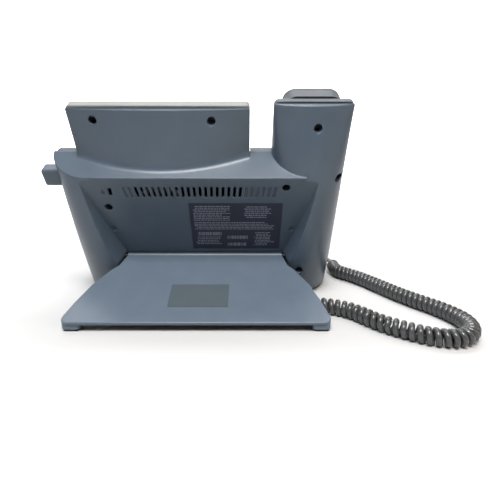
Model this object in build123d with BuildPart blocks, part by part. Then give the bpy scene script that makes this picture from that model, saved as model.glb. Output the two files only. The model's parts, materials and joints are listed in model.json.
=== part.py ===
from build123d import *
import math
import os

# ---------------------------------------------------------------------------
# Desk IP phone on its fold-out rear stand.
# Every piece of the phone is drawn in the phone's own upright frame:
#   x across the phone, y towards the back, z up the phone's face,
#   with y = 0 on the flat rear wall and z = 0 at the stand's hinge line.
# The finished pieces are then leant back about the hinge line so that the
# phone stands on the desk at z = 0.
# ---------------------------------------------------------------------------
LEAN = 29.0            # lean back from upright
X_S, Y_H, Z_H = -6.3, -5.5, 35.0   # hinge line in the desk frame
CENTRE_Y = -1.6        # brings the middle of the footprint to y = 0
SEAM = -26.0           # parting plane of rear housing and front cover
FACE = -32.0           # front face of the cover
COVER = 2.0            # cover wall
WALL = 2.2             # housing wall
HALF_W = 112.0         # half width of the phone
BASE_Z = 3.0           # height of the underside above the desk
LEDGE_Z, LEDGE_RISE = 77.6, 15.9   # rear edge of the ledge and its slope
TOWER_L, TOWER_R, TOWER_TOP = -38.0, 93.0, 119.4
COL_X, COL_HALF, COL_TOP = -83.5, 28.5, 123.0
PLATE_L, PLATE_DROP = 81.0, 19.5   # stand plate length and slope in use
KEY_GAP = 0.35
KEY_TOP = -34.0
TRAVEL = 1.5

place = Location((X_S, Y_H, Z_H), (-LEAN, 0, 0))
desk = Location((0, 0, 0))
os.makedirs("parts", exist_ok=True)
sin_l, cos_l = math.sin(math.radians(LEAN)), math.cos(math.radians(LEAN))


def half_oval(cx, half, depth, z, flat=SEAM):
    """Half oval standing on the seam plane at height z."""
    with BuildSketch(Plane.XY.offset(z)) as sk:
        with BuildLine():
            a = EllipticalCenterArc((cx, flat), half, depth, start_angle=0, arc_size=180)
            Line(a @ 1, a @ 0)
        make_face()
    return sk.sketch


def arc_section(x0, x1, side, mid, z):
    """Display housing section: flat at the seam, shallow arc at the rear."""
    with BuildSketch(Plane.XY.offset(z)) as sk:
        with BuildLine():
            p = Polyline((x1, side), (x1, SEAM), (x0, SEAM), (x0, side))
            ThreePointArc(p @ 1, ((x0 + x1) / 2, mid), p @ 0)
        make_face()
    return sk.sketch


def oval_loft(rows, inset=0.0):
    return loft([half_oval(cx, h - inset, max(d - inset, 1.0), z) for z, cx, h, d in rows])


def try_fillet(part, edges, radii, what=""):
    """Round edges with the first radius of the list that the shape allows."""
    if not edges:
        print("no edges for", what)
        return part
    for r in radii:
        try:
            new = part.fillet(r, edges)
            if new.is_valid and abs(new.volume - part.volume) < 0.2 * part.volume:
                return new
        except Exception:
            continue
    print("left sharp:", what)
    return part


def box(x0, x1, y0, y1, z0, z1):
    return Location(((x0 + x1) / 2, (y0 + y1) / 2, (z0 + z1) / 2)) * Box(x1 - x0, y1 - y0, z1 - z0)


def flat_plane(y):
    """Drawing plane parallel to the phone's face, looking out of the front."""
    return Plane(origin=(0, y, 0), x_dir=(1, 0, 0), z_dir=(0, -1, 0))


def desk_plane(height):
    """Horizontal desk plane at a height, written in the phone's frame."""
    return Plane(origin=(0, -(height - Z_H) * sin_l, (height - Z_H) * cos_l), x_dir=(1, 0, 0),
                 z_dir=(0, -sin_l, cos_l))


def to_phone(shape):
    """Take something drawn in the desk frame into the phone's frame."""
    return shape.moved(place.inverse())


# --------------------------------------------------------------- rear housing
col_rows = [(-60, COL_X, COL_HALF, 48.0), (-25, COL_X, COL_HALF, 46.0), (20, COL_X, COL_HALF, 40.0),
            (50, COL_X, COL_HALF, 33.0), (78, COL_X, COL_HALF, 25.0), (100, COL_X, COL_HALF, 15.0),
            (COL_TOP, COL_X, COL_HALF, 4.2)]
left_rows = [(-60, 78.0, 34.0, 48.0), (-25, 78.0, 34.0, 46.0), (20, 80.0, 32.0, 40.0),
             (50, 82.0, 30.0, 33.0), (92, 84.0, 28.0, 22.0)]

ledge_plane = Plane(origin=(0, 0, LEDGE_Z), x_dir=(1, 0, 0),
                    z_dir=(0, math.sin(math.radians(LEDGE_RISE)), math.cos(math.radians(LEDGE_RISE))))
with BuildPart() as slab:
    with BuildSketch(Plane.XY.offset(-60)):
        with Locations((0, SEAM / 2)):
            Rectangle(160, -SEAM)
    extrude(amount=152)
    add(oval_loft(left_rows))
    split(bisect_by=ledge_plane, keep=Keep.BOTTOM)
    add(loft([arc_section(TOWER_L, TOWER_R, -20.0, -3.0, 70), arc_section(TOWER_L, TOWER_R, -22.8, -12.0, 92),
              arc_section(TOWER_L, TOWER_R, -25.0, -22.6, TOWER_TOP)]))
body = slab.part
root = [e for e in body.edges() if 77 < e.center().Z < 92 and -24 < e.center().Y < -2 and e.length > 40
        and TOWER_L - 1 < e.center().X < TOWER_R + 1]
body = try_fillet(body, root, [6.0, 4.5, 3.0, 2.0], "root of display housing")
rim = [e for e in body.edges() if abs(e.center().Z - LEDGE_Z) < 1.2 and e.center().Y > -9 and e.length > 20]
body = try_fillet(body, rim, [2.0, 1.4, 1.0], "ledge rim")
column = oval_loft(col_rows)
top_edge = [e for e in column.edges() if e.center().Z > COL_TOP - 0.1 and e.center().Y > SEAM + 0.5]
column = try_fillet(column, top_edge, [1.5, 1.0, 0.7], "column top")
body = body + column
body = split(body, bisect_by=desk_plane(BASE_Z), keep=Keep.TOP)

recess_line = [(66.5, -70), (67.5, 3), (74.0, 22), (79.0, 38), (85.0, 58), (93.0, 90)]
with BuildPart() as recess:
    with BuildSketch(Plane(origin=(0, 0, 0), x_dir=(-1, 0, 0), z_dir=(0, 1, 0))):
        with BuildLine():
            Polyline(*recess_line, *[(-x, z) for x, z in reversed(recess_line)], close=True)
        make_face()
    extrude(amount=34, taper=-16)
recess_solid = recess.part
body = body - recess_solid
outer = body
ridge = [e for e in body.edges() if e.center().Y > 0.7 and -40 < e.center().Z < 80 and e.length > 12
         and 66 < abs(e.center().X) < 108]
body = try_fillet(body, ridge, [0.6, 0.4], "buttress ridges")

# hollow
hollow = box(-80, 80, SEAM - 1, -WALL, -60, 70)
hollow = hollow + box(-80, TOWER_R - 8, SEAM - 1, -WALL, -60, LEDGE_Z - WALL - 1)
ovals = oval_loft([(z, cx, h, d) for z, cx, h, d in left_rows[:-1]] + [(LEDGE_Z - 3.2, 83.3, 28.6, 25.6)], WALL)
ovals = ovals + oval_loft([(z, cx, h, d) for z, cx, h, d in col_rows[:-1]] + [(COL_TOP - 2.6, COL_X, COL_HALF, 5.6)], WALL)
hollow = hollow + (ovals - recess_solid.moved(Location((0, -WALL, 0))))
hollow = hollow + loft([arc_section(TOWER_L + WALL, TOWER_R - WALL, -22.6, -5.6, 68),
                        arc_section(TOWER_L + WALL, TOWER_R - WALL, -24.8, -14.6, 92),
                        arc_section(TOWER_L + WALL, TOWER_R - WALL, -25.9, -24.6, TOWER_TOP - 2.2)])
hollow = split(hollow, bisect_by=desk_plane(BASE_Z + WALL), keep=Keep.TOP)
bay_desk = box(X_S - 64, X_S + 64, -24, 60, 4.6, 26.0)        # pocket for the sockets, desk frame
bay_skin = box(X_S - 66.2, X_S + 66.2, -26.2, 60, -5, 28.2)
hollow = hollow - to_phone(bay_skin)
body = body - hollow
body = body - to_phone(bay_desk)

# screw towers: x, z, seat depth, far end of the tower, tip of the screw
screws_at = [(-65.4, 69.1, -22.0, SEAM, -29.6), (71.9, 50.7, -22.0, SEAM, -29.6),
             (-86.4, 108.8, -22.6, SEAM, -29.6), (-79.8, -2.1, -22.0, SEAM, -29.6),
             (-105.4, 72.2, -22.0, SEAM, -29.6),
             (74.6, 112.0, -28.2, -30.2, -32.6), (-10.4, 111.7, -28.2, -30.2, -32.6)]


def rod(x, z, r, y0, y1):
    """Round bar along y from y0 to y1."""
    return Location((x, (y0 + y1) / 2, z), (90, 0, 0)) * Cylinder(r, abs(y1 - y0))


for x, z, seat, far, tip in screws_at:
    body = body + (rod(x, z, 5.0, far, 30) & (outer + box(x - 6, x + 6, -31, SEAM, z - 6, z + 6)))
for x, z, seat, far, tip in screws_at:
    body = body - rod(x, z, 3.0, seat, 40) - rod(x, z, 1.7, far - 1, seat + 1)

# fanned vent slots, the last few only dimples
VENTS = 27
slots_deep, slots_shallow = [], []
for i in range(VENTS):
    x = 56.0 - i * (113.0 / (VENTS - 1))
    turn = 10.0 * x / 57.0
    with BuildSketch(Plane(origin=(x, 0.5, 65.1), x_dir=(-1, 0, 0), z_dir=(0, 1, 0))) as sl:
        SlotOverall(9.6, 2.0, rotation=90 + turn)
    shallow = i >= VENTS - 6 or i < 2
    piece = extrude(sl.sketch, amount=-(1.3 if shallow else 4.0))
    (slots_shallow if shallow else slots_deep).append(piece)
body = body - slots_deep - slots_shallow

# security slot, stand catches, label pocket
body = body - (Location((67.5, -2.5, 65.4)) * Box(2.6, 8, 6.4))
for sx in (-1, 1):
    body = body - (Location((sx * 72.4, 0.4, 28.4)) * Box(3.4, 3.4, 4.6))
LABEL = (-63.6, 9.4, 5.6, 54.5)
body = body - box(LABEL[0] - 0.15, LABEL[1] + 0.15, -0.3, 1, LABEL[2] - 0.15, LABEL[3] + 0.15)

# hinge eyes in the buttresses
AXLE_Y = 3.2
for sx in (-1, 1):
    eye = Location((sx * 71.0, AXLE_Y, 0), (0, 90, 0)) * Cylinder(4.6, 9.0)
    body = body + (eye & outer)
    body = body - Location((sx * 69.6, AXLE_Y, 0), (0, 90, 0)) * Cylinder(2.05, 9.2)

# sockets: x (phone middle = 0), half width, z low, z high in the desk frame
JACK_Y = -24.0
sockets = {"handset": (-56.0, 5.5, 6.5, 17.5), "net1": (-8.0, 8.0, 6.0, 19.5), "net2": (11.0, 8.0, 6.0, 19.5),
           "power": (44.0, 5.0, 6.5, 17.5)}
for cx, hw, z0, z1 in sockets.values():
    body = body - to_phone(box(X_S + cx - hw - 0.05, X_S + cx + hw + 0.05, -27.5, -23, z0 - 0.05, z1 + 0.05))
if len(body.solids()) > 1:
    print("loose bits", [round(v.volume, 1) for v in body.solids()])
    body = max(body.solids(), key=lambda v: v.volume)
print("housing", body.is_valid, round(body.volume), len(body.solids()))
made = {}


def finish(shape, name, where=place):
    """Set a finished piece into the desk frame, label it and write it."""
    bits = [v.moved(Location((0, CENTRE_Y, 0)) * where) for v in shape.solids()]
    part = Compound(children=bits) if len(bits) > 1 else bits[0]
    part.label = name
    export_step(part, f"parts/{name}.step")
    made[name] = part
    return part


finish(body, "rear_housing")

# ---------------------------------------------------------------- front cover
# keys: name -> (x, z, width, height, corner)
keys = {}
for i, x in enumerate((-17.5, 11.0, 39.5, 68.0)):
    keys[f"soft_key_{i + 1}"] = (x, 66.0, 23.0, 6.6, 1.6)
for i, z in enumerate((48.0, 35.0, 22.0, 9.0)):
    keys[f"line_key_{i + 1}"] = (91.0, z, 24.0, 8.0, 2.0)
for name, z in (("hold_key", 53.5), ("transfer_key", 42.0), ("conference_key", 30.5)):
    keys[name] = (-20.0, z, 23.0, 7.6, 2.0)
for r, z in enumerate((11.0, -3.5, -18.0, -32.5)):
    for c, x in enumerate((-2.0, 25.5, 53.0)):
        keys[f"dial_key_{r * 3 + c + 1:02d}"] = (x, z, 22.0, 10.0, 3.0)
for name, z in (("headset_key", -8.0), ("mute_key", -21.0), ("speaker_key", -34.0)):
    keys[name] = (91.0, z, 20.0, 8.0, 3.9)
NAV = (25.5, 42.0, 16.0, 7.4)      # x, z, outer and inner radius of the ring

cover_line = [(-HALF_W, -62), (HALF_W, -62), (HALF_W, 85.0), (TOWER_R + 0.4, 85.0), (TOWER_R + 0.4, 73.6),
              (TOWER_L - 0.4, 73.6), (TOWER_L - 0.4, 85.0), (-55.0, 85.0), (-55.0, COL_TOP + 1.2), (-HALF_W, COL_TOP + 1.2)]
with BuildPart() as cover:
    with BuildSketch(flat_plane(SEAM)):
        with BuildLine():
            Polyline(*cover_line, close=True)
        make_face()
    extrude(amount=SEAM - FACE)
    split(bisect_by=desk_plane(BASE_Z), keep=Keep.TOP)
    fillet(edges().filter_by(Axis.Y).filter_by(lambda e: abs(e.center().X) > 111 or e.center().X < -50 and e.center().Z > 100), 4.0)
    fillet(faces().sort_by(Axis.Y)[0].edges(), 1.6)
with BuildPart() as cover_in:
    with BuildSketch(flat_plane(SEAM + 1)):
        with BuildLine():
            Polyline(*cover_line, close=True)
        make_face()
        offset(amount=-COVER, kind=Kind.INTERSECTION)
    extrude(amount=SEAM + 1 - FACE - COVER)
    split(bisect_by=desk_plane(BASE_Z + COVER), keep=Keep.TOP)
front = cover.part - cover_in.part
for x, z, seat, far, tip in screws_at[:5]:
    front = front + rod(x, z, 3.6, SEAM, FACE + 0.5)
    front = front - rod(x, z, 1.4, SEAM + 1, tip - 0.2)


def key_body(w, h, c, y0, y1, grow=0.0):
    with BuildSketch(flat_plane(y0)) as sk:
        RectangleRounded(w + 2 * grow, h + 2 * grow, max(c + grow, 0.3))
    return extrude(sk.sketch, amount=y0 - y1)


openings = []
for x, z, w, h, c in keys.values():
    openings.append(key_body(w, h, c, FACE + 3, FACE - 2, KEY_GAP).moved(Location((x, 0, z))))
openings.append(rod(NAV[0], NAV[1], NAV[2] + KEY_GAP, FACE + 3, FACE - 2))
front = front - openings
# hook switch window, cradle rests, sound slots of the hands-free microphone
front = front - box(COL_X - 4.4, COL_X + 4.4, FACE - 1, FACE + 3, 77.6, 90.4)
front = front - [rod(x, -46.0, 0.8, FACE - 1, FACE + 3) for x in (24.0, 27.0, 30.0)]
finish(front, "front_cover")

# ----------------------------------------------------------- display assembly
BZ = (TOWER_L, TOWER_R, 74.0, 121.4)
LENS = (-26.0, 81.0, 80.5, 107.5)
with BuildPart() as bezel:
    with BuildSketch(flat_plane(SEAM)):
        with Locations(((BZ[0] + BZ[1]) / 2, (BZ[2] + BZ[3]) / 2)):
            Rectangle(BZ[1] - BZ[0], BZ[3] - BZ[2])
    extrude(amount=8.0)
    fillet(edges().filter_by(Axis.Y), 3.0)
    fillet(faces().sort_by(Axis.Y)[0].edges(), 1.8)
    chamfer(faces().sort_by(Axis.Y)[-1].edges(), 0.5)
    with BuildSketch(flat_plane(SEAM + 1)):
        with Locations(((BZ[0] + BZ[1]) / 2, (BZ[2] + BZ[3]) / 2)):
            Rectangle(BZ[1] - BZ[0] - 4.4, BZ[3] - BZ[2] - 4.4)
    extrude(amount=7.0, mode=Mode.SUBTRACT)
silver = bezel.part
silver = silver - box(LENS[0] + 3, LENS[1] - 3, -40, -30, LENS[2] + 3, LENS[3] - 3)
silver = silver - box(LENS[0], LENS[1], -40, -33.0, LENS[2], LENS[3])
for x, z, seat, far, tip in screws_at[5:]:
    silver = silver + (rod(x, z, 3.4, far, -32.6))
    silver = silver - rod(x, z, 1.4, SEAM, tip)
finish(silver, "display_bezel")
with BuildPart() as lens:
    with BuildSketch(flat_plane(-33.0)):
        with Locations(((LENS[0] + LENS[1]) / 2, (LENS[2] + LENS[3]) / 2)):
            RectangleRounded(LENS[1] - LENS[0] - 0.1, LENS[3] - LENS[2] - 0.1, 0.4)
    extrude(amount=1.3)
finish(lens.part, "display_lens")
lcd = box(-24, 79, -31.6, -27.6, 79.5, 106.5) + box(-20, 75, -32.0, -31.5, 83.5, 104.5)
finish(lcd, "lcd_module")

# ------------------------------------------------------------------- side pod
pod = box(100.0, 124.6, -28.0, -17.0, 59.4, 73.0)
pod = try_fillet(pod, [e for e in pod.edges() if e.center().X > 123], [2.5, 1.5], "pod")
pod = try_fillet(pod, [e for e in pod.edges() if e.center().X < 120 and 18 < e.length < 24 and e.center().Z > 66], [3.0, 2.0, 1.2], "pod")
pod = pod - outer - cover.part
pod = max(pod.solids(), key=lambda v: v.volume)
print("pod", [round(v, 1) for v in (pod.bounding_box().min.X, pod.bounding_box().max.X)], len(pod.solids()))
pod = pod - box(113.2, 121.4, -31, -23.4, 61.0, 71.4)
pod = pod - Location((117.3, -26.2, 66.2), (0, 90, 0)) * Cylinder(0.85, 10.8)
finish(pod, "side_pod")
rock = box(113.6, 121.0, -30.2, -25.2, 61.5, 70.9)
rock = try_fillet(rock, [e for e in rock.edges() if e.center().Y < -30.1], [0.8], "rocker")
rock = rock + Location((117.3, -26.2, 66.2), (0, 90, 0)) * Cylinder(0.8, 10.0)
rock = rock - box(113, 122, -31, -29.8, 65.8, 66.6)
finish(rock, "volume_rocker")

# ------------------------------------------------------------------------ keys
for name, (x, z, w, h, c) in keys.items():
    with BuildPart() as key:
        with BuildSketch(flat_plane(-28.1)):
            RectangleRounded(w, h, c)
        extrude(amount=-28.1 - KEY_TOP)
        fillet(faces().sort_by(Axis.Y)[0].edges(), 0.7)
        with BuildSketch(flat_plane(-28.1)):
            RectangleRounded(w + 2.2, h + 2.2, c)
        extrude(amount=1.4)
    finish(key.part.moved(Location((x, 0, z))), name)
with BuildPart() as ring:
    with BuildSketch(flat_plane(-28.1)):
        Circle(NAV[2])
        Circle(NAV[3] + KEY_GAP, mode=Mode.SUBTRACT)
    extrude(amount=-28.1 - KEY_TOP)
    fillet(faces().sort_by(Axis.Y)[0].edges(), 0.8)
    with BuildSketch(flat_plane(-28.1)):
        Circle(NAV[2] + 1.1)
        Circle(NAV[3] + 1.5, mode=Mode.SUBTRACT)
    extrude(amount=1.4)
    # room for the select key's own flange
    with BuildSketch(flat_plane(-28.1)):
        Circle(NAV[3] + 1.5)
    extrude(amount=3.2, mode=Mode.SUBTRACT)
finish(ring.part.moved(Location((NAV[0], 0, NAV[1]))), "nav_ring")
with BuildPart() as sel:
    with BuildSketch(flat_plane(-28.1)):
        Circle(NAV[3])
    extrude(amount=-28.1 - KEY_TOP - 0.5)
    fillet(faces().sort_by(Axis.Y)[0].edges(), 0.7)
    with BuildSketch(flat_plane(-28.1)):
        Circle(NAV[3] + 1.1)
    extrude(amount=1.4)
finish(sel.part.moved(Location((NAV[0], 0, NAV[1]))), "select_key")
hook = box(COL_X - 3.9, COL_X + 3.9, -36.0, -28.0, 78.1, 89.9)
hook = try_fillet(hook, [e for e in hook.edges() if e.center().Y < -35.9], [1.2], "hook")
hook = hook + box(COL_X - 5.6, COL_X + 5.6, -29.4, -28.0, 76.6, 91.4)
finish(hook, "hook_switch")

# ------------------------------------------------------------------ internals
mat = box(-34, 104, -26.0, -24.0, -40, 71)
mat = mat - rod(71.9, 50.7, 6.0, -30, -20)
for x, z, w, h, c in keys.values():
    mat = mat + rod(x, z, 2.2, -26.0, -26.25)
mat = mat - [rod(x, 72.0, 1.2, -30, -20) for x in (-30, 30, 90)]
finish(mat, "key_mat")
board = box(-36, 105, -24.0, -22.4, -42, 72)
board = board - rod(71.9, 50.7, 6.0, -30, -20)
for cx, cz, w, h, t in ((10, 20, 17, 17, 2.0), (42, 28, 14, 10, 1.6), (-14, 8, 9, 9, 1.4), (70, -4, 12, 12, 3.0),
                        (20, -18, 22, 8, 2.2), (58, 56, 8, 14, 2.0)):
    board = board + box(cx - w / 2, cx + w / 2, -22.5, -22.4 + t, cz - h / 2, cz + h / 2)
for cx, cz in ((-24, -14), (-16, -14), (84, 14), (84, 26)):
    board = board + rod(cx, cz, 3.2, -22.5, -15.0)
finish(board, "main_board")
with BuildPart() as speaker:
    with BuildSketch(Plane(origin=(30, -3.0, 52.0), x_dir=(-1, 0, 0), z_dir=(0, 1, 0))):
        Circle(18.0)
    extrude(amount=-3.2)
    with BuildSketch(Plane(origin=(30, -6.2, 52.0), x_dir=(-1, 0, 0), z_dir=(0, 1, 0))):
        Circle(11.5)
    extrude(amount=-5.2)
    with BuildSketch(Plane(origin=(30, -3.0, 52.0), x_dir=(-1, 0, 0), z_dir=(0, 1, 0))):
        Circle(15.5)
    extrude(amount=-1.6, taper=30, mode=Mode.SUBTRACT)
finish(speaker.part, "loudspeaker")

screw_bits = []
for x, z, seat, far, tip in screws_at:
    s = rod(x, z, 2.75, seat, seat + 2.2) + rod(x, z, 1.4, tip, seat + 0.3)
    slot = [Location((x, seat + 2.2, z), (0, a, 0)) * Box(3.2, 2.0, 0.8) for a in (20, 110)]
    screw_bits += list((s - slot).solids())
finish(Compound(children=screw_bits), "housing_screws")
finish(box(LABEL[0], LABEL[1], -0.3, 0.05, LABEL[2], LABEL[3]), "id_label")


# --------------------------------------------------------------------- sockets
def socket(cx, hw, z0, z1, depth, mouth, deep):
    """Modular socket with its mouth to the rear (desk frame)."""
    b = box(X_S + cx - hw, X_S + cx + hw, JACK_Y - depth, JACK_Y, z0, z1)
    mw, m0, m1 = mouth
    b = b - box(X_S + cx - mw / 2, X_S + cx + mw / 2, JACK_Y - deep, JACK_Y + 1, m0, m1)
    b = b - box(X_S + cx - mw / 4, X_S + cx + mw / 4, JACK_Y - deep, JACK_Y + 1, m1 - 0.1, m1 + 1.4)
    return b


def contacts(cx, n, pitch, z, depth):
    return [box(X_S + cx + (i - (n - 1) / 2) * pitch - 0.2, X_S + cx + (i - (n - 1) / 2) * pitch + 0.2,
                JACK_Y - depth, JACK_Y - 3, z - 0.3, z + 0.5) for i in range(n)]


hj = socket(*sockets["handset"], 14.0, (7.9, 9.0, 15.0), 12.6) + contacts(-56.0, 4, 1.25, 9.0, 12.7)
finish(hj, "handset_jack", desk)
nets = []
for k in ("net1", "net2"):
    cx = sockets[k][0]
    nets += (socket(*sockets[k], 14.0, (11.8, 8.2, 15.4), 12.4) + contacts(cx, 8, 1.02, 8.2, 12.5)).solids()
finish(Compound(children=nets), "network_jacks", desk)
cx, hw, z0, z1 = sockets["power"]
pj = box(X_S + cx - hw, X_S + cx + hw, JACK_Y - 13, JACK_Y, z0, z1)
pj = pj - Location((X_S + cx, JACK_Y - 5, 12.0), (90, 0, 0)) * Cylinder(3.1, 10.1)
pj = pj + Location((X_S + cx, JACK_Y - 5.6, 12.0), (90, 0, 0)) * Cylinder(0.95, 9.0)
finish(pj, "power_jack", desk)

# ----------------------------------------------------------------------- stand
AX = (Y_H + cos_l * AXLE_Y, Z_H - sin_l * AXLE_Y)
sin_p, cos_p = math.sin(math.radians(PLATE_DROP)), math.cos(math.radians(PLATE_DROP))
stand_frame = Plane(origin=(X_S, AX[0], AX[1]), x_dir=(1, 0, 0), z_dir=(0, sin_p, cos_p))
PLATE_T = 2.4
plate_line = [(65.8, 0), (69.4, 14), (74.4, 20), (77.2, 25), (85.0, 40), (91.5, 60), (95.0, 74), (95.6, PLATE_L)]
with BuildPart() as plate:
    with BuildSketch(stand_frame.offset(-PLATE_T / 2)):
        with BuildLine():
            Polyline(*plate_line, *[(-x, q) for x, q in reversed(plate_line)], close=True)
        make_face()
    extrude(amount=PLATE_T)
plate_solid = plate.part
plate_solid = try_fillet(plate_solid, [e for e in plate_solid.edges() if abs(e.length - PLATE_T) < 0.01
                                       and e.center().Y > AX[0] + 70], [5.0, 3.0], "plate corners")
top_face = plate_solid.faces().sort_by(Axis((0, 0, 0), (0, sin_p, cos_p)))[-1]
plate_solid = try_fillet(plate_solid, [e for e in top_face.edges() if e.center().Y > AX[0] + 8], [0.9, 0.5], "plate rim")
plate_solid = plate_solid + Location((X_S, AX[0], AX[1]), (0, 90, 0)) * Cylinder(2.6, 131.6)
mid_plane = stand_frame.offset(-0.2)
legs = []
for sx in (-1, 1):
    leg = box(X_S + sx * 88.5 - 6.5, X_S + sx * 88.5 + 6.5, 62.0, 72.6, 1.6, 14.0)
    leg = try_fillet(leg, [e for e in leg.edges() if abs(e.length - 12.4) < 0.01], [3.0], "leg")
    legs.append(split(leg, bisect_by=mid_plane, keep=Keep.BOTTOM))
plate_solid = plate_solid + legs
# stiffening lip below the free edge and two ribs below the plate
for y0, y1, x0, x1, low in ((69.4, 71.0, -83, 83, 4.2), (30.0, 31.8, -60, 60, 15.5)):
    strip = box(X_S + x0, X_S + x1, y0, y1, low, 30)
    plate_solid = plate_solid + split(strip, bisect_by=mid_plane, keep=Keep.BOTTOM)
BADGE = (-22.0, 22.0, 40.0, 65.0)


def on_plate(x0, x1, q0, q1, z0, z1):
    b = Box(x1 - x0, q1 - q0, z1 - z0)
    return stand_frame.location * Location(((x0 + x1) / 2, (q0 + q1) / 2, (z0 + z1) / 2)) * b


plate_solid = plate_solid - on_plate(BADGE[0] - 0.15, BADGE[1] + 0.15, BADGE[2] - 0.15, BADGE[3] + 0.15, 0.7, 3)
pins = []
for sx in (-1, 1):
    pin = Location((X_S + sx * 66.0, AX[0], AX[1]), (0, 90, 0)) * Cylinder(2.0, 15.6)
    plate_solid = plate_solid - pin
    pins += list(pin.solids())
print("plate", plate_solid.is_valid, len(plate_solid.solids()))
finish(plate_solid, "stand_plate", desk)
finish(Compound(children=pins), "stand_hinge_pins", desk)
finish(on_plate(*BADGE, 0.7, 1.3), "stand_badge", desk)
pads = []
for sx in (-1, 1):
    pad = box(X_S + sx * 88.5 - 5.0, X_S + sx * 88.5 + 5.0, 63.4, 71.2, 0, 1.6)
    pads += list(try_fillet(pad, [e for e in pad.edges() if e.center().Z < 0.01], [0.5], "pad").solids())
finish(Compound(children=pads), "stand_feet", desk)
feet = []
for fx, fy in ((-88, -36), (88, -36), (-88, -10), (88, -10)):
    foot = Location((X_S + fx, fy, BASE_Z / 2)) * Cylinder(6.0, BASE_Z)
    feet += list(try_fillet(foot, foot.edges().sort_by(Axis.Z)[:1], [0.6], "foot").solids())
finish(Compound(children=feet), "base_feet", desk)

# --------------------------------------------------------------------- handset
HX, H_LOW, H_TOP, H_MID = -84.0, -46.0, 125.0, -43.0


def side_profile(points, half):
    with BuildSketch(Plane(origin=(HX - half, 0, 0), x_dir=(0, 1, 0), z_dir=(1, 0, 0))) as sk:
        with BuildLine():
            Polyline(*points, close=True)
        make_face()
    return extrude(sk.sketch, amount=2 * half)


def hand_solid(inset):
    i = inset
    pts = [(-32.6 - i, H_LOW + i), (-32.6 - i, -8 - i), (-39.0 - i, 4 - i), (-39.0 - i, 64 + i), (-32.6 - i, 73 + i),
           (-32.6 - i, H_TOP - i), (-49.0 + i, H_TOP - i), (-54.0 + i, 110), (-55.6 + i, 70), (-55.6 + i, 12),
           (-54.0 + i, -30), (-50.0 + i, H_LOW + i)]
    with BuildSketch(flat_plane(-30)) as sk:
        with Locations((HX, (H_LOW + H_TOP) / 2)):
            RectangleRounded(43.6 - 2 * i, H_TOP - H_LOW - 2 * i, 10.0 - i)
    return side_profile(pts, 30) & extrude(sk.sketch, amount=30)


hand = hand_solid(0)
rim_edges = [e for e in hand.edges() if e.center().Y < -48 and (abs(e.center().X - HX) > 15 or e.center().Z > 120
                                                                or e.center().Z < -42)]
hand = try_fillet(hand, rim_edges, [5.0, 3.5, 2.5, 1.5], "handset front edge")
hand_in = hand_solid(2.2)
skin = hand - hand_in
skin = skin + (box(COL_X - 7.4, COL_X + 7.4, -39.2, -33, 74.6, 93.4) & hand)
skin = skin - box(COL_X - 5.2, COL_X + 5.2, -37.0, -30, 76.8, 91.2)
plug_bay = box(HX - 6.0, HX + 6.0, -48, -38, H_LOW + 1, -34.0) & hand
skin = skin + plug_bay
skin = skin - box(HX - 3.9, HX + 3.9, -46.0, -40.0, H_LOW - 1, -36.0)
cut = flat_plane(H_MID)
back = split(skin, bisect_by=cut, keep=Keep.BOTTOM)
fore = split(skin, bisect_by=cut, keep=Keep.TOP)
if back.center().Y < fore.center().Y:
    back, fore = fore, back
fore = fore - box(HX - 40, HX + 40, H_MID - 0.0, H_MID + 1, -60, 140)
holes = [rod(HX, 107.0, 0.8, -36, -30)]
for k in range(6):
    a = math.radians(60 * k)
    holes.append(rod(HX + 5 * math.cos(a), 107 + 5 * math.sin(a), 0.8, -36, -30))
holes += [rod(HX + dx, -33.0, 0.8, -36, -30) for dx in (-3, 0, 3)]
back = back - holes
print("handset", back.is_valid, len(back.solids()), fore.is_valid, len(fore.solids()))
finish(back, "handset_back_shell")
finish(fore, "handset_front_shell")
finish(rod(HX, 107.0, 12.0, -34.8, -42.0) - rod(HX, 107.0, 9.0, -34, -35.6), "receiver_capsule")
finish(rod(HX, -28.0, 4.8, -34.8, -38.0) + rod(HX, -28.0, 2.0, -38.0, -38.6), "microphone_capsule")
finish(box(HX - 9, HX + 9, -53.2, -44.0, 14, 66), "handset_weight")
plug_h = box(HX - 3.85, HX + 3.85, -45.9, -40.1, H_LOW - 1.5, -36.2) + \
    Location((HX, -43.0, H_LOW - 2.2)) * Cylinder(2.7, 1.6)
finish(plug_h, "handset_plug")

# ---------------------------------------------------------------------- cord
CORD_D, COIL_D = 3.8, 12.4
PLUG_END = H_LOW - 3.0      # underside of the handset plug, phone frame
p0 = (HX, Y_H + cos_l * H_MID + sin_l * PLUG_END, Z_H - sin_l * H_MID + cos_l * PLUG_END)
tail_h = [p0, (HX, p0[1] - 10 * sin_l, p0[2] - 10 * cos_l), (-98.0, -84.0, 2.8), (-116.0, -88.0, 4.5),
          (-124.33846, -79.0, 6.2), (-124.0, -68.0, 6.2)]
coil = [(-124.0, -68.0, 6.2), (-123.2, -42.0, 6.2), (-137.5, -27.0, 6.2), (-147.0, -11.0, 6.2), (-165.0, 24.0, 6.2),
        (-183.0, 47.0, 6.2), (-191.1, 66.9, 6.2), (-189.0, 81.4, 6.2), (-179.2, 92.7, 6.2), (-165.6, 93.9, 6.2),
        (-152.0, 88.5, 6.2), (-129.6, 71.3, 6.2), (-117.0, 52.0, 6.2), (-104.0, 43.0, 6.2), (-80.0, 38.0, 6.2)]
tail_b = [(-80.0, 38.0, 6.2), (-70.0, 35.9, 6.2), (-58.0, 14.0, 6.0), (-56.0, -2.0, 12.4), (-56.0, -16.0, 12.4)]


def corner_radii(pts):
    out = []
    for a, b, c in zip(pts, pts[1:], pts[2:]):
        u = (Vector(b) - Vector(a))
        v = (Vector(c) - Vector(b))
        turn = math.radians(u.get_angle(v))
        out.append(0.45 * min(u.length, v.length) / math.tan(turn / 2))
    return out


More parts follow.
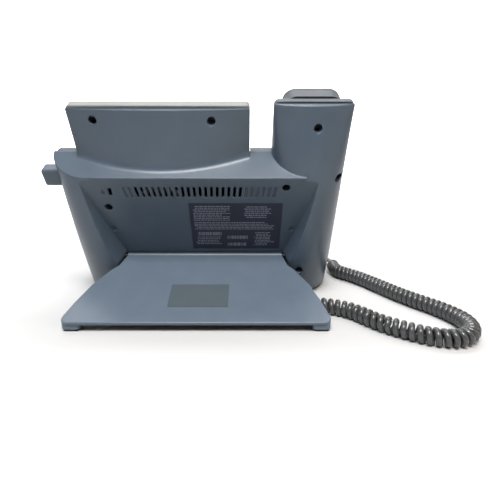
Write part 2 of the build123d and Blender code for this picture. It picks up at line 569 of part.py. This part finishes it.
def tube(points, dia, name):
    pts = [(x + X_S, y, z) for x, y, z in points]
    radii = corner_radii(pts)
    print(name, "radii", [round(r, 2) for r in radii])
    with BuildPart() as tb:
        with BuildLine() as ln:
            FilletPolyline(*pts, radius=radii)
        start = Vector(pts[1]) - Vector(pts[0])
        with BuildSketch(Plane(origin=pts[0], z_dir=start)):
            Circle(dia / 2)
        sweep(path=ln.wires()[0])
    length = ln.wires()[0].length
    print(name, "length", round(length, 1), "volume ratio",
          round(tb.part.volume / (math.pi * dia ** 2 / 4 * length), 4), tb.part.is_valid)
    finish(tb.part, name, desk)


tube(tail_h, CORD_D, "cord_handset_tail")
tube(coil, COIL_D, "cord_coil")
tube(tail_b, CORD_D, "cord_jack_tail")
plug_b = box(X_S - 56 - 3.85, X_S - 56 + 3.85, -36.2, -16.0, 9.65, 14.9)
finish(plug_b, "base_plug", desk)
print(len(made), "pieces")
still = [p.bounding_box() for n, p in made.items() if n not in ("cord_handset_tail", "cord_coil", "cord_jack_tail", "base_plug")]
print("box without the cord", [round(min(b.min.X for b in still), 2), round(max(b.max.X for b in still), 2)],
      [round(min(b.min.Y for b in still), 2), round(max(b.max.Y for b in still), 2)],
      [round(min(b.min.Z for b in still), 2), round(max(b.max.Z for b in still), 2)])
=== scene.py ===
import json
import math

import bpy
from mathutils import Matrix, Vector


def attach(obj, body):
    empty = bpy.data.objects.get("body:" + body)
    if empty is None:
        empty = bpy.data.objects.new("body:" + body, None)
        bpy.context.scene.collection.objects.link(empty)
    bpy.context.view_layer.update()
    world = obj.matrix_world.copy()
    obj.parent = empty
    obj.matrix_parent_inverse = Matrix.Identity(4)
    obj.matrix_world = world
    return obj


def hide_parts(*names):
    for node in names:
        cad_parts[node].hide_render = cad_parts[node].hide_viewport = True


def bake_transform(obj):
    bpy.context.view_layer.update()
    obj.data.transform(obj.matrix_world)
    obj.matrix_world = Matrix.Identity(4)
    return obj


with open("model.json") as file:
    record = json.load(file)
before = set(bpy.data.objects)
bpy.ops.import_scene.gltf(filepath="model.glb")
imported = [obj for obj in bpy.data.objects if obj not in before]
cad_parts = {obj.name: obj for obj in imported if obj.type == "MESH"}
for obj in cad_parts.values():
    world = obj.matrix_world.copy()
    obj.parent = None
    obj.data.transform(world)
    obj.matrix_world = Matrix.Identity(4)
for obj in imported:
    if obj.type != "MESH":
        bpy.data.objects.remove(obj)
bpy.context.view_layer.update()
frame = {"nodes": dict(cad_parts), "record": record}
nodes = frame["nodes"]

# The phone's own upright frame (metres) set into the row frame.
LEAN = math.radians(29.0)
X_S, Y_H, Z_H = -0.0063, -0.0071, 0.035
SHIFT_Y = -0.0016
PHONE = Matrix.Translation((X_S, Y_H, Z_H)) @ Matrix.Rotation(-LEAN, 4, "X")
scene = bpy.context.scene

# --------------------------------------------------------------------- camera
cam_data = bpy.data.cameras.new("camera")
cam_data.sensor_width = 36.0
cam_data.lens = 29.39
cam_data.clip_start = 0.01
cam = bpy.data.objects.new("camera", cam_data)
cam.location = (-0.0345 + X_S, 0.3285 + SHIFT_Y, 0.1317)
cam.rotation_euler = (math.radians(75.0), 0.0, math.radians(180.0))
scene.collection.objects.link(cam)
scene.camera = cam


# ------------------------------------------------------------------ materials
def shader(name, color, rough, metal=0.0, fine=0.0, scale=900.0, mottle=0.0, mottle_scale=60.0, rough_var=0.0,
           coat=0.0, spec=0.5, trans=0.0, alpha=None, soft_edge=0.0):
    """A finish with moulding grain as bump, slow colour drift and uneven gloss."""
    m = bpy.data.materials.new(name)
    m.use_nodes = True
    nt = m.node_tree
    b = nt.nodes["Principled BSDF"]
    b.inputs["Base Color"].default_value = (*color, 1)
    b.inputs["Roughness"].default_value = rough
    b.inputs["Metallic"].default_value = metal
    b.inputs["Specular IOR Level"].default_value = spec
    b.inputs["Coat Weight"].default_value = coat
    b.inputs["Coat Roughness"].default_value = 0.15
    b.inputs["Transmission Weight"].default_value = trans
    if alpha is not None:
        b.inputs["Alpha"].default_value = alpha
    tc = nt.nodes.new("ShaderNodeTexCoord")
    if fine:
        n = nt.nodes.new("ShaderNodeTexNoise")
        n.inputs["Scale"].default_value = scale
        n.inputs["Detail"].default_value = 3.0
        n.inputs["Roughness"].default_value = 0.6
        bump = nt.nodes.new("ShaderNodeBump")
        bump.inputs["Strength"].default_value = fine
        bump.inputs["Distance"].default_value = 0.0002
        nt.links.new(tc.outputs["Object"], n.inputs["Vector"])
        nt.links.new(n.outputs["Fac"], bump.inputs["Height"])
        nt.links.new(bump.outputs["Normal"], b.inputs["Normal"])
        if soft_edge:
            bev = nt.nodes.new("ShaderNodeBevel")
            bev.samples = 6
            bev.inputs["Radius"].default_value = soft_edge
            nt.links.new(bev.outputs["Normal"], bump.inputs["Normal"])
    if mottle:
        n2 = nt.nodes.new("ShaderNodeTexNoise")
        n2.inputs["Scale"].default_value = mottle_scale
        n2.inputs["Detail"].default_value = 4.0
        ramp = nt.nodes.new("ShaderNodeValToRGB")
        lo = [c * (1 - mottle) for c in color]
        hi = [min(1, c * (1 + mottle)) for c in color]
        ramp.color_ramp.elements[0].position = 0.3
        ramp.color_ramp.elements[0].color = (*lo, 1)
        ramp.color_ramp.elements[1].position = 0.7
        ramp.color_ramp.elements[1].color = (*hi, 1)
        nt.links.new(tc.outputs["Object"], n2.inputs["Vector"])
        nt.links.new(n2.outputs["Fac"], ramp.inputs["Fac"])
        nt.links.new(ramp.outputs["Color"], b.inputs["Base Color"])
    if rough_var:
        n3 = nt.nodes.new("ShaderNodeTexNoise")
        n3.inputs["Scale"].default_value = 35.0
        n3.inputs["Detail"].default_value = 5.0
        mr = nt.nodes.new("ShaderNodeMapRange")
        mr.inputs["To Min"].default_value = max(0.02, rough - rough_var)
        mr.inputs["To Max"].default_value = min(1.0, rough + rough_var)
        nt.links.new(tc.outputs["Object"], n3.inputs["Vector"])
        nt.links.new(n3.outputs["Fac"], mr.inputs["Value"])
        nt.links.new(mr.outputs["Result"], b.inputs["Roughness"])
    return m


housing = shader("housing_plastic", (0.054, 0.076, 0.104), 0.34, fine=0.25, scale=2600, mottle=0.05, rough_var=0.05, soft_edge=0.0014)
# the cover is the housing's plastic with a darker base: painted shade on its upright faces
cover = shader("cover_plastic_painted_shade", (0.045, 0.058, 0.072), 0.42, fine=0.25, scale=2600, mottle=0.05, rough_var=0.05)
# the stand is the same plastic with a lighter base: painted light on its upward-facing plate
stand = shader("stand_plastic_painted_light", (0.092, 0.122, 0.160), 0.36, fine=0.22, scale=2600, mottle=0.05, rough_var=0.05)
silver = shader("silver_paint", (0.20, 0.21, 0.20), 0.42, metal=0.35, fine=0.12, scale=3000, mottle=0.03, rough_var=0.05)
lens = shader("lens_clear", (0.75, 0.8, 0.8), 0.05, mottle=0.02, trans=0.6, alpha=0.35, fine=0.02, scale=300)
screen = shader("screen_glass", (0.22, 0.27, 0.25), 0.25, fine=0.1, scale=4000, mottle=0.04)
board = shader("circuit_board", (0.015, 0.11, 0.045), 0.35, fine=0.4, scale=700, mottle=0.25, mottle_scale=250)
silicone = shader("silicone", (0.50, 0.50, 0.47), 0.60, fine=0.2, scale=1500, mottle=0.06)
speaker = shader("speaker_metal", (0.30, 0.30, 0.31), 0.35, metal=0.9, fine=0.15, scale=1800, mottle=0.08, rough_var=0.08)
socket = shader("socket_plastic", (0.022, 0.022, 0.026), 0.45, fine=0.2, scale=2000, mottle=0.1)
label = shader("label_film", (0.012, 0.014, 0.030), 0.38, fine=0.1, scale=3000, mottle=0.08)
steel = shader("dark_steel", (0.022, 0.022, 0.024), 0.35, metal=0.9, fine=0.15, scale=2500, mottle=0.1, rough_var=0.08)
rubber = shader("foot_rubber", (0.02, 0.02, 0.02), 0.75, fine=0.5, scale=1500, mottle=0.15)
badge = shader("badge_inlay", (0.058, 0.077, 0.090), 0.48, fine=0.12, scale=3500, mottle=0.04)
hand_dark = shader("handset_dark", (0.040, 0.050, 0.062), 0.42, fine=0.25, scale=2600, mottle=0.05, rough_var=0.05)
hand_shell = shader("handset_shell", (0.025, 0.035, 0.049), 0.48, fine=0.2, scale=2600, mottle=0.05, rough_var=0.05)
clear = shader("plug_clear", (0.70, 0.70, 0.68), 0.15, trans=0.5, mottle=0.04, fine=0.05, scale=800)
key_dark = shader("key_dark", (0.020, 0.024, 0.028), 0.45, fine=0.2, scale=2600, mottle=0.06, rough_var=0.05)
key_light = shader("key_light", (0.105, 0.118, 0.130), 0.40, fine=0.2, scale=2600, mottle=0.05, rough_var=0.05)
cord_mat = shader("cord_jacket", (0.050, 0.052, 0.054), 0.30, fine=0.15, scale=1200, mottle=0.08, rough_var=0.08, coat=0.25)
print_mat = shader("label_print", (0.20, 0.22, 0.27), 0.50, mottle=0.06, fine=0.05, scale=2000)
mark_mat = shader("moulded_mark", (0.020, 0.024, 0.030), 0.5, mottle=0.05, fine=0.1, scale=2000)

finish_of = {"housing": housing, "cover": cover, "silver": silver, "lens": lens, "screen": screen,
             "circuit_board": board, "silicone": silicone, "speaker_metal": speaker, "socket_plastic": socket,
             "label": label, "steel": steel, "rubber_feet": rubber, "stand": stand, "badge": badge,
             "handset_dark": hand_dark, "handset_shell": hand_shell, "clear_plug": clear, "cord": cord_mat,
             "key_dark": key_dark, "key_light": key_light}
for sub in frame["record"]["subparts"]:
    o = nodes[sub["node"]]
    o.data.materials.clear()
    o.data.materials.append(finish_of[sub["material_slot"]])

# ----------------------------------------------------------------------- cord
H_MID, PLUG_END = -0.043, -0.049
c29, s29 = math.cos(LEAN), math.sin(LEAN)
p0 = (-0.084, -0.0055 + c29 * H_MID + s29 * PLUG_END, Z_H - s29 * H_MID + c29 * PLUG_END)
route = [p0, (-0.084, p0[1] - 0.010 * s29, p0[2] - 0.010 * c29), (-0.098, -0.084, 0.0028), (-0.116, -0.088, 0.0045),
         (-0.12433846, -0.079, 0.0062), (-0.124, -0.068, 0.0062), (-0.1232, -0.042, 0.0062), (-0.1375, -0.027, 0.0062),
         (-0.147, -0.011, 0.0062), (-0.165, 0.024, 0.0062), (-0.183, 0.047, 0.0062), (-0.1911, 0.0669, 0.0062),
         (-0.189, 0.0814, 0.0062), (-0.1792, 0.0927, 0.0062), (-0.1656, 0.0939, 0.0062), (-0.152, 0.0885, 0.0062),
         (-0.1296, 0.0713, 0.0062), (-0.117, 0.052, 0.0062), (-0.104, 0.043, 0.0062), (-0.080, 0.038, 0.0062),
         (-0.070, 0.0359, 0.0062), (-0.058, 0.014, 0.0060), (-0.056, -0.002, 0.0124), (-0.056, -0.016, 0.0124)]
COIL_START, COIL_END = Vector((-0.124 + X_S, -0.068 + SHIFT_Y, 0.0062)), Vector((-0.080 + X_S, 0.038 + SHIFT_Y, 0.0062))
cu = bpy.data.curves.new("route", "CURVE")
cu.dimensions = "3D"
sp = cu.splines.new("NURBS")
sp.points.add(len(route) - 1)
for q, p in zip(sp.points, route):
    q.co = (p[0] + X_S, p[1] + SHIFT_Y, p[2], 1)
sp.order_u = 3
sp.use_endpoint_u = True
sp.resolution_u = 24
route_obj = bpy.data.objects.new("route", cu)
scene.collection.objects.link(route_obj)
bpy.context.view_layer.update()
line_mesh = bpy.data.meshes.new_from_object(route_obj.evaluated_get(bpy.context.evaluated_depsgraph_get()))
line = [v.co.copy() for v in line_mesh.vertices]
bpy.data.objects.remove(route_obj)
bpy.data.meshes.remove(line_mesh)

arc = [0.0]
for a, b in zip(line, line[1:]):
    arc.append(arc[-1] + (b - a).length)
total = arc[-1]


def at(s):
    s = min(max(s, 0.0), total)
    lo, hi = 0, len(arc) - 1
    while hi - lo > 1:
        mid = (lo + hi) // 2
        if arc[mid] <= s:
            lo = mid
        else:
            hi = mid
    t = 0 if arc[hi] == arc[lo] else (s - arc[lo]) / (arc[hi] - arc[lo])
    return line[lo].lerp(line[hi], t)


def nearest_s(p):
    return min(zip(line, arc), key=lambda q: (q[0] - p).length)[1]


S0, S1 = nearest_s(COIL_START), nearest_s(COIL_END)
WIRE = 0.0042
COIL_R = 0.0041


def smooth(t):
    t = min(max(t, 0.0), 1.0)
    return t * t * (3 - 2 * t)


def pitch_at(s):
    """Tight at the far strand, pulled open along the near strand."""
    u = (s - S0) / (S1 - S0)
    return 0.00435 + 0.00085 * smooth((u - 0.55) / 0.18) + 0.00010 * math.sin(s * 410.0)


centres = []
s, phase = 0.0, 0.0
while s < total:
    grow = smooth((s - S0) / 0.009) * smooth((S1 - s) / 0.009)
    base = at(s)
    tan = (at(s + 0.0015) - at(s - 0.0015)).normalized()
    side = tan.cross(Vector((0, 0, 1))).normalized()
    up = side.cross(tan).normalized()
    centres.append(base + (side * math.cos(phase) + up * math.sin(phase)) * COIL_R * grow)
    if grow > 0.0:
        step = pitch_at(s) / 20.0
        phase -= 2 * math.pi / 20.0
    else:
        step = 0.0016
    s += step
centres.append(at(total))

RING = 10
verts, faces = [], []
ref = Vector((0, 0, 1))
for i, c in enumerate(centres):
    a, b = centres[max(i - 1, 0)], centres[min(i + 1, len(centres) - 1)]
    t = (b - a).normalized()
    ref = (ref - t * ref.dot(t)).normalized()
    other = t.cross(ref)
    for k in range(RING):
        w = 2 * math.pi * k / RING
        verts.append(c + (ref * math.cos(w) + other * math.sin(w)) * WIRE / 2)
for i in range(len(centres) - 1):
    for k in range(RING):
        k2 = (k + 1) % RING
        faces.append((i * RING + k, i * RING + k2, (i + 1) * RING + k2, (i + 1) * RING + k))
faces.append(tuple(reversed(range(RING))))
last = (len(centres) - 1) * RING
faces.append(tuple(last + k for k in range(RING)))
me = bpy.data.meshes.new("curly_cord")
me.from_pydata([tuple(v) for v in verts], [], faces)
for p in me.polygons:
    p.use_smooth = len(p.vertices) == 4
me.materials.append(cord_mat)
cord = bpy.data.objects.new("curly_cord", me)
scene.collection.objects.link(cord)
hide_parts("cord_handset_tail", "cord_coil", "cord_jack_tail")
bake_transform(cord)


# -------------------------------------------------------------- added details
def plates(name, boxes, body, mat, where=PHONE):
    """Thin printed or moulded marks as one mesh of boxes (phone frame, mm)."""
    vs, fs = [], []
    for x0, x1, y0, y1, z0, z1 in boxes:
        k = len(vs)
        vs += [where @ Vector((x * 0.001, y * 0.001, z * 0.001)) for z in (z0, z1) for y in (y0, y1) for x in (x0, x1)]
        fs += [tuple(k + j for j in f) for f in ((0, 2, 3, 1), (4, 5, 7, 6), (0, 1, 5, 4), (2, 6, 7, 3), (0, 4, 6, 2), (1, 3, 7, 5))]
    m = bpy.data.meshes.new(name)
    m.from_pydata([tuple(v) for v in vs], [], fs)
    m.materials.append(mat)
    o = bpy.data.objects.new(name, m)
    scene.collection.objects.link(o)
    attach(o, body)
    return o


# generic print on the rating label: rows of short bars and bar blocks
bars = []
state = [7]


def rnd(n):
    state[0] = (state[0] * 1103515245 + 12345) % 2147483648
    return (state[0] >> 8) % n


def text_rows(x_hi, x_lo, z_hi, z_lo, step, thick):
    z = z_hi
    while z > z_lo:
        x = x_hi - rnd(3) * 0.8
        stop = x_lo + rnd(5) * 1.6
        while x - 1.2 > stop:
            w = min(0.8 + rnd(100) / 100.0 * 2.4, x - stop)
            bars.append((x - w, x, 0.05, 0.09, z - thick / 2, z + thick / 2))
            x -= w + 0.55
        z -= step


text_rows(6.5, -24.0, 51.5, 37.0, 1.75, 0.62)
text_rows(6.5, -58.0, 35.0, 27.0, 1.75, 0.62)
text_rows(-34.0, -58.0, 51.0, 38.5, 2.1, 0.7)
text_rows(6.5, -16.0, 19.0, 9.5, 1.9, 0.62)
text_rows(-42.0, -60.0, 24.0, 9.5, 1.75, 0.62)
for bx0, bz0, n in ((4.0, 21.0, 20), (-20.0, 17.0, 16), (-20.0, 9.0, 16)):
    x = bx0
    for k in range(n):
        w = 0.22 + rnd(3) * 0.22
        bars.append((x - w, x, 0.05, 0.09, bz0, bz0 + 3.6))
        x -= w + 0.55
plates("label_print", bars, "base", print_mat)

# small generic symbol beside the security slot
plates("slot_symbol", [(71.6, 74.2, -0.02, 0.12, 63.6, 65.8), (72.0, 72.4, -0.02, 0.12, 65.8, 67.2),
                       (73.4, 73.8, -0.02, 0.12, 65.8, 67.2), (72.0, 73.8, -0.02, 0.12, 67.0, 67.4)], "base", mark_mat)

# generic rows on the screen, under the lens
rows = []
for r in range(4):
    z = 101.0 - r * 5.2
    rows.append((-16.0, 12.0 - 5.0 * (r % 2), -32.15, -32.0, z - 0.9, z + 0.9))
    rows.append((50.0 + 4 * (r % 3), 70.0, -32.15, -32.0, z - 0.9, z + 0.9))
plates("screen_rows", rows, "base", key_dark)

# digits of the dial keys
LEG = ["1", "2", "3", "4", "5", "6", "7", "8", "9", "*", "0", "#"]
for r, z in enumerate((11.0, -3.5, -18.0, -32.5)):
    for c, x in enumerate((-2.0, 25.5, 53.0)):
        i = r * 3 + c
        tcu = bpy.data.curves.new("digit", "FONT")
        tcu.body = LEG[i]
        tcu.size = 0.0075
        tcu.extrude = 0.00006
        tcu.align_x = "CENTER"
        tcu.align_y = "CENTER"
        tob = bpy.data.objects.new("digit", tcu)
        scene.collection.objects.link(tob)
        bpy.context.view_layer.update()
        dm = bpy.data.meshes.new_from_object(tob.evaluated_get(bpy.context.evaluated_depsgraph_get()))
        bpy.data.objects.remove(tob)
        dm.transform(PHONE @ Matrix.Translation((x * 0.001, -0.03404, z * 0.001)) @ Matrix.Rotation(math.radians(90), 4, "X"))
        dm.materials.clear()
        dm.materials.append(print_mat)
        do = bpy.data.objects.new(f"digit_{i + 1:02d}", dm)
        scene.collection.objects.link(do)
        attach(do, f"dial_key_{i + 1:02d}_body")

# --------------------------------------------------------------- floor, light
fm = bpy.data.materials.new("floor")
fm.use_nodes = True
fb = fm.node_tree.nodes["Principled BSDF"]
fb.inputs["Base Color"].default_value = (0.52, 0.52, 0.52, 1)
fb.inputs["Roughness"].default_value = 0.85
fb.inputs["Specular IOR Level"].default_value = 0.2
# the card is lighter further back, where less light falls
ftc = fm.node_tree.nodes.new("ShaderNodeTexCoord")
fxyz = fm.node_tree.nodes.new("ShaderNodeSeparateXYZ")
framp = fm.node_tree.nodes.new("ShaderNodeMapRange")
framp.interpolation_type = "SMOOTHSTEP"
framp.inputs["From Min"].default_value = 0.05
framp.inputs["From Max"].default_value = -0.60
framp.inputs["To Min"].default_value = 0.52
framp.inputs["To Max"].default_value = 0.93
fm.node_tree.links.new(ftc.outputs["Object"], fxyz.inputs[0])
fm.node_tree.links.new(fxyz.outputs["Y"], framp.inputs["Value"])
fm.node_tree.links.new(framp.outputs["Result"], fb.inputs["Base Color"])
prof = [(5.0, -0.0002), (1.5, -0.0002), (-0.9, -0.0002), (-1.6, -0.0002)]
prof += [(-1.6 - 0.9 * math.sin(math.radians(a)), 0.9 - 0.9 * math.cos(math.radians(a))) for a in range(10, 91, 10)]
prof += [(-2.5, 4.0)]
fv = [(x, y, z) for y, z in prof for x in (-6.0, 6.0)]
ff = [(2 * k, 2 * k + 1, 2 * k + 3, 2 * k + 2) for k in range(len(prof) - 1)]
fl = bpy.data.meshes.new("floor")
fl.from_pydata(fv, [], ff)
for p in fl.polygons:
    p.use_smooth = True
fl.materials.append(fm)
bm = bpy.data.materials.new("backdrop")
bm.use_nodes = True
bm.node_tree.nodes["Principled BSDF"].inputs["Base Color"].default_value = (0.93, 0.93, 0.93, 1)
bm.node_tree.nodes["Principled BSDF"].inputs["Roughness"].default_value = 0.85
fl.materials.append(bm)
for k, p in enumerate(fl.polygons):
    p.material_index = 1 if k >= 2 else 0
# far from the phone the stage is pale to the eye from every side, and gives off no light
for stage_mat in (fm, bm):
    snt = stage_mat.node_tree
    stc, path_node, dist = snt.nodes.new("ShaderNodeTexCoord"), snt.nodes.new("ShaderNodeLightPath"), snt.nodes.new("ShaderNodeVectorMath")
    dist.operation = "LENGTH"
    far = snt.nodes.new("ShaderNodeMapRange")
    far.interpolation_type = "SMOOTHSTEP"
    far.inputs["From Min"].default_value = 0.30
    far.inputs["From Max"].default_value = 1.30
    far.inputs["To Max"].default_value = 0.95
    seen = snt.nodes.new("ShaderNodeMath")
    seen.operation = "MULTIPLY"
    snt.links.new(stc.outputs["Object"], dist.inputs[0])
    snt.links.new(dist.outputs["Value"], far.inputs["Value"])
    snt.links.new(far.outputs["Result"], seen.inputs[0])
    snt.links.new(path_node.outputs["Is Camera Ray"], seen.inputs[1])
    sb = snt.nodes["Principled BSDF"]
    sb.inputs["Emission Color"].default_value = (1, 1, 1, 1)
    snt.links.new(seen.outputs["Value"], sb.inputs["Emission Strength"])
floor = bpy.data.objects.new("floor", fl)
scene.collection.objects.link(floor)

world = bpy.data.worlds.new("world")
world.use_nodes = True
world.node_tree.nodes["Background"].inputs["Color"].default_value = (0.96, 0.98, 1.0, 1)
world.node_tree.nodes["Background"].inputs["Strength"].default_value = 0.05
scene.world = world
wnt = world.node_tree
wpath, wstr = wnt.nodes.new("ShaderNodeLightPath"), wnt.nodes.new("ShaderNodeMapRange")
wstr.inputs["To Min"].default_value = 0.05
wstr.inputs["To Max"].default_value = 1.05
wnt.links.new(wpath.outputs["Is Camera Ray"], wstr.inputs["Value"])
wnt.links.new(wstr.outputs["Result"], wnt.nodes["Background"].inputs["Strength"])


def area(name, loc, aim, size, power, color=(1, 1, 1)):
    d = bpy.data.lights.new(name, "AREA")
    d.shape = "RECTANGLE"
    d.size = size[0]
    d.size_y = size[1]
    d.energy = power
    d.color = color
    o = bpy.data.objects.new(name, d)
    o.location = loc
    o.rotation_euler = (Vector(aim) - Vector(loc)).to_track_quat("-Z", "Y").to_euler()
    scene.collection.objects.link(o)


area("top", (0.0, 0.50, 0.95), (0, 0.03, 0.05), (0.6, 0.4), 17.5)
area("sheen", (0.0, -0.55, 0.95), (0, 0.03, 0.05), (0.9, 0.5), 0.25)
area("key", (0.60, 0.20, 0.50), (0, 0.0, 0.1), (0.5, 0.5), 0.7)
area("warm", (-0.60, 0.35, 0.35), (-0.06, 0, 0.08), (0.3, 0.45), 1.0, (1.0, 0.72, 0.42))
area("backdrop", (0.0, -0.9, 2.2), (0, -2.4, 0.6), (2.5, 0.8), 84.0)
scene.view_settings.view_transform = "Standard"
